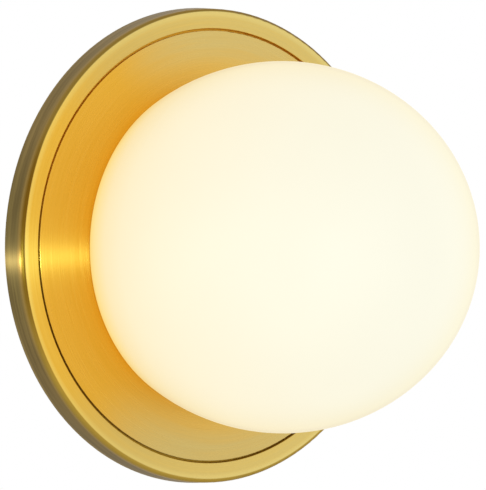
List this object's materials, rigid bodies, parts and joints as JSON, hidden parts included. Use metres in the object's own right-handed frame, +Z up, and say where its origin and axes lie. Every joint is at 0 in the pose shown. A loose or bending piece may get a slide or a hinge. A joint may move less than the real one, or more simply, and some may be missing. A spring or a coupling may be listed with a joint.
{
  "type": "globe wall light",
  "caption": "Wall light: an opal glass globe seated on a round brushed-brass wall plate with a shadow groove, with a pull-off shade and a plug-in lamp.",
  "frame": {"origin": "centre of the wall face of the strap, midway between the slots for the wall screws, on the axis of the plate", "axes": "+Z up, +Y into the wall, -Y out into the room along the light's axis, +X to the right as the room sees it"},
  "size_m": [0.1998, 0.1172, 0.1998],
  "materials": {
    "brushed_brass": "circularly brushed, lacquered, a little darker on the rim",
    "brushed_brass_disc": "circularly brushed, lacquered",
    "opal_glass": "satin opal, mouth-blown",
    "silicone": "matte translucent white",
    "white_steel": "white powder coat, satin",
    "galvanised_steel": "galvanised",
    "zinc_steel": "bright zinc plate",
    "spring_steel": "bright spring steel",
    "aluminium_rivet": "bare",
    "black_nylon": "matte",
    "black_rubber": "matte",
    "ceramic": "glazed white steatite",
    "contact_brass": "bare",
    "white_plastic": "satin",
    "pin_wire": "nickel plate",
    "clear_glass": "clear, gloss",
    "board": "white solder mask",
    "chip": "yellow phosphor",
    "terminal_plastic": "natural nylon",
    "brown_insulation": "satin",
    "blue_insulation": "satin",
    "green_yellow_insulation": "satin, green with a yellow stripe",
    "tinned_copper": "tin plate"
  },
  "bodies": {
    "mounting": {"back_pan": "brushed_brass", "face_disc": "brushed_brass_disc", "face_disc_nuts": "zinc_steel", "shade_gasket": "silicone", "carrier_dish": "white_steel", "carrier_screws": "zinc_steel", "shade_springs": "spring_steel", "spring_rivets": "aluminium_rivet", "wall_bracket": "galvanised_steel", "bracket_nuts": "zinc_steel", "fixing_screws": "zinc_steel", "fixing_washers": "zinc_steel", "cable_bush": "black_nylon", "holder_bracket": "galvanised_steel", "holder_bracket_screws": "zinc_steel", "lampholder_body": "ceramic", "lampholder_contacts": "contact_brass", "lampholder_screws": "zinc_steel", "lead_grommet": "black_rubber", "terminal_block": "terminal_plastic", "terminal_inserts": "contact_brass", "terminal_screws": "zinc_steel", "terminal_fixing_screws": "zinc_steel", "live_lead": "brown_insulation", "neutral_lead": "blue_insulation", "earth_lead": "green_yellow_insulation", "earth_lug": "tinned_copper", "earth_screw": "zinc_steel", "earth_nut": "zinc_steel"},
    "shade": {"glass_shade": "opal_glass"},
    "lamp": {"lamp_base": "white_plastic", "lamp_pins": "pin_wire", "lamp_envelope": "clear_glass", "lamp_board": "board", "lamp_chips": "chip"}
  },
  "joints": [
    {"name": "shade_pull", "type": "slide", "parent": "mounting", "child": "shade", "axis": [0, -1, 0], "range_m": [0, 0.12], "deforming": ["shade_springs"]},
    {"name": "lamp_pull", "type": "slide", "parent": "mounting", "child": "lamp", "axis": [0, -1, 0], "range_m": [0, 0.018]}
  ]
}
